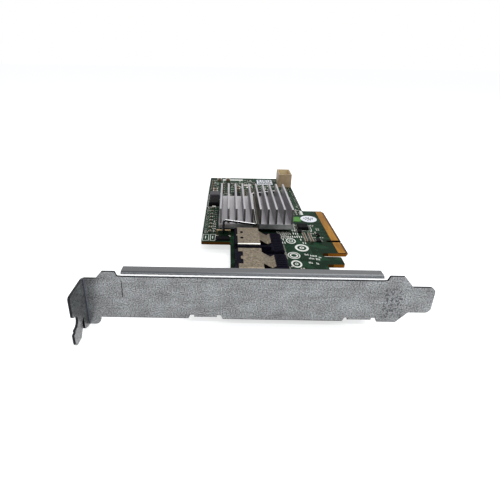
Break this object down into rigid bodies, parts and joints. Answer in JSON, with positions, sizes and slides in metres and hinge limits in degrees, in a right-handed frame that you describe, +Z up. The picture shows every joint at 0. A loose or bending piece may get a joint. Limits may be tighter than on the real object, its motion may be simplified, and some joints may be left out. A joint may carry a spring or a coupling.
{
  "type": "raid controller card",
  "caption": "Storage controller card: slot bracket, card edge, finned heatsink with wire clip, internal cable ports and an upright header on a waisted board.",
  "frame": {"origin": "centre of the bracket's outer face, midway along its length and across its width", "axes": "+X along the bracket towards its tongue and the card edge, +Y back along the board, +Z up from the component side"},
  "size_m": [0.1206, 0.1732, 0.0221],
  "materials": {
    "zinc_steel": "zinc plated, mottled grey",
    "screw_steel": "bright zinc",
    "solder_mask": "green solder mask over glass laminate",
    "contact_gold": "thin hard gold plate",
    "black_mould": "moulded epoxy",
    "pad_grey": "soft silicone pad",
    "sink_aluminium": "clear anodised extrusion",
    "spring_wire": "bright spring wire",
    "staple_brass": "tinned brass wire",
    "beige_nylon": "natural nylon",
    "pin_tin": "tin plate",
    "can_steel": "plain metal lid",
    "grey_ferrite": "sintered ferrite",
    "resistor_ceramic": "dark glazed film on ceramic",
    "capacitor_ceramic": "tan ceramic",
    "bulk_ceramic": "brown ceramic",
    "white_label": "matt white label",
    "green_label": "bright green sticker",
    "shell_steel": "plated sheet",
    "port_plastic": "black moulded plastic"
  },
  "bodies": {
    "root": {"bracket": "zinc_steel", "bracket_screws": "screw_steel", "bulk_capacitors": "bulk_ceramic", "chip_capacitors": "capacitor_ceramic", "chip_resistors": "resistor_ceramic", "circuit_board": "solder_mask", "clip_anchors": "staple_brass", "clock_crystal": "can_steel", "controller_chip": "black_mould", "far_port_contacts": "pin_tin", "far_port_housing": "port_plastic", "far_port_shell": "shell_steel", "firmware_chip": "black_mould", "green_sticker": "green_label", "header_housing": "beige_nylon", "header_pins": "pin_tin", "heatsink": "sink_aluminium", "heatsink_clip": "spring_wire", "logic_chips": "black_mould", "lower_edge_contacts": "contact_gold", "memory_chips": "black_mould", "near_port_contacts": "pin_tin", "near_port_housing": "port_plastic", "near_port_shell": "shell_steel", "power_choke": "black_mould", "power_inductor": "grey_ferrite", "power_transistor": "black_mould", "round_label": "white_label", "thermal_pad": "pad_grey", "tracking_label": "white_label", "transistors": "black_mould", "underside_capacitors": "capacitor_ceramic", "upper_edge_contacts": "contact_gold"}
  },
  "joints": []
}
